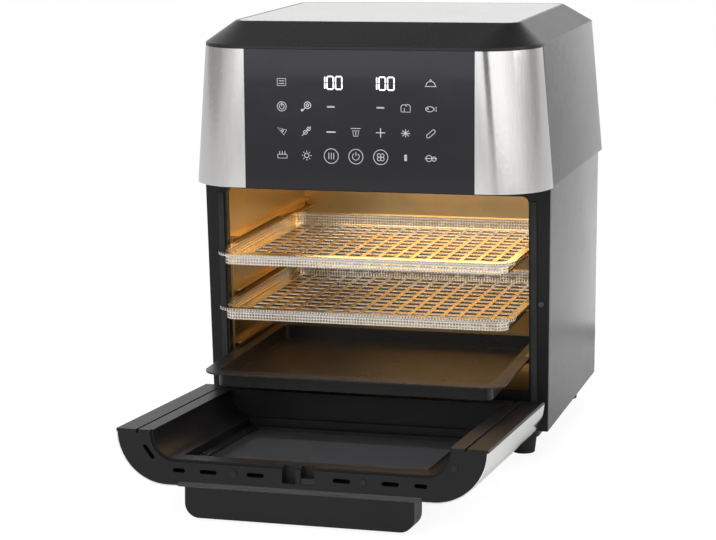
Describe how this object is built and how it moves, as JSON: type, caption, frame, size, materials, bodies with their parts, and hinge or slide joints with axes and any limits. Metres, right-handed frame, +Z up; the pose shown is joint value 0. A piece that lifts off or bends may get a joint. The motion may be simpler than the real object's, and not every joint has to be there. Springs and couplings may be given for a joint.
{
  "type": "countertop air fryer oven",
  "caption": "Countertop air fryer oven with control panel head, drop-down door, sliding mesh racks, drip tray and fan-driven heater",
  "frame": {"origin": "on the surface the feet stand on, under the middle of the whole at rest with the door down", "axes": "+Z up, -Y out through the door, +X to the right of someone facing the door"},
  "size_m": [0.32, 0.4932, 0.383],
  "materials": {
    "shell_black": "satin",
    "top_steel": "fine brushed",
    "panel_glass": "gloss black, printed from behind",
    "trim_steel": "brushed upright",
    "black_plastic": "fine grained",
    "circuit": "green board",
    "display": "dark display cell",
    "spring_steel": "bright",
    "side_black": "satin",
    "zinc": "galvanised",
    "screw_steel": "bright zinc",
    "black_rubber": "matt",
    "liner_steel": "dull stainless",
    "rack_steel": "bright",
    "pan_black": "non-stick coating",
    "element_steel": "heat-darkened",
    "ceramic_white": "unglazed",
    "fan_aluminium": "plain",
    "iron": "laminated",
    "clear_glass": "clear",
    "dark_glass": "tinted",
    "seal": "silicone, matt",
    "component": "moulded"
  },
  "bodies": {
    "housing": {"head_shell": "shell_black", "top_plate": "top_steel", "control_glass": "panel_glass", "left_head_trim": "trim_steel", "right_head_trim": "trim_steel", "panel_carrier": "black_plastic", "control_board": "circuit", "display_module": "display", "touch_springs": "spring_steel", "head_floor": "black_plastic", "catch_magnet": "iron", "left_side_panel": "side_black", "right_side_panel": "side_black", "rear_panel": "zinc", "cord_gland": "black_rubber", "wall_spacers": "black_rubber", "rear_screws": "screw_steel", "front_frame": "black_plastic", "frame_gasket": "seal", "base_pan": "black_plastic", "feet": "black_rubber", "cavity_liner": "liner_steel", "cavity_ceiling": "liner_steel", "rack_rails": "liner_steel", "element_guard": "liner_steel", "guard_screws": "screw_steel", "heater_dome": "liner_steel", "heating_element": "element_steel", "element_bushes": "ceramic_white", "motor_bracket": "zinc", "motor_stator": "iron", "motor_covers": "zinc", "lamp_holder": "zinc", "lamp_bulb": "clear_glass", "lamp_lens": "clear_glass", "temperature_probe": "spring_steel", "thermal_cutout": "ceramic_white", "power_board": "circuit", "power_parts": "component", "ribbon_cable": "component", "door_switch": "component", "hinge_brackets": "zinc", "hinge_pins": "spring_steel"},
    "door": {"door_frame": "black_plastic", "door_front_glass": "dark_glass", "door_inner_glass": "dark_glass", "door_bezel": "black_plastic", "door_handle": "black_plastic", "door_catch": "zinc", "door_screws": "screw_steel", "left_door_trim": "trim_steel", "right_door_trim": "trim_steel"},
    "fan": {"fan_shaft": "spring_steel", "convection_fan": "fan_aluminium", "cooling_fan": "black_plastic", "motor_rotor": "iron"},
    "plunger": {"switch_plunger": "component"},
    "top_rack_body": {"top_rack": "rack_steel"},
    "middle_rack_body": {"middle_rack": "rack_steel"},
    "drip_tray_body": {"drip_tray": "pan_black"}
  },
  "joints": [
    {"name": "door_hinge", "type": "hinge", "parent": "housing", "child": "door", "pos_m": [0, -0.0355, 0.033], "axis": [-1, 0, 0], "range_deg": [0, 86]},
    {"name": "top_rack_slide", "type": "slide", "parent": "housing", "child": "top_rack_body", "axis": [0, 1, 0], "range_m": [0, 0.054]},
    {"name": "middle_rack_slide", "type": "slide", "parent": "housing", "child": "middle_rack_body", "axis": [0, 1, 0], "range_m": [0, 0.054]},
    {"name": "drip_tray_slide", "type": "slide", "parent": "housing", "child": "drip_tray_body", "axis": [0, 1, 0], "range_m": [0, 0.106]},
    {"name": "fan_spin", "type": "hinge", "parent": "housing", "child": "fan", "pos_m": [0, 0.112, 0.3], "axis": [0, 0, 1], "continuous": true},
    {"name": "plunger_press", "type": "slide", "parent": "housing", "child": "plunger", "axis": [0, 1, 0], "range_m": [0, 0.0012], "stiffness_N_per_m": 400}
  ],
  "couplings": [
    {"joint": "top_rack_slide", "follows": "door_hinge", "m_per_rad": 0.035976},
    {"joint": "middle_rack_slide", "follows": "door_hinge", "m_per_rad": 0.035976},
    {"joint": "drip_tray_slide", "follows": "door_hinge", "m_per_rad": 0.07062}
  ]
}
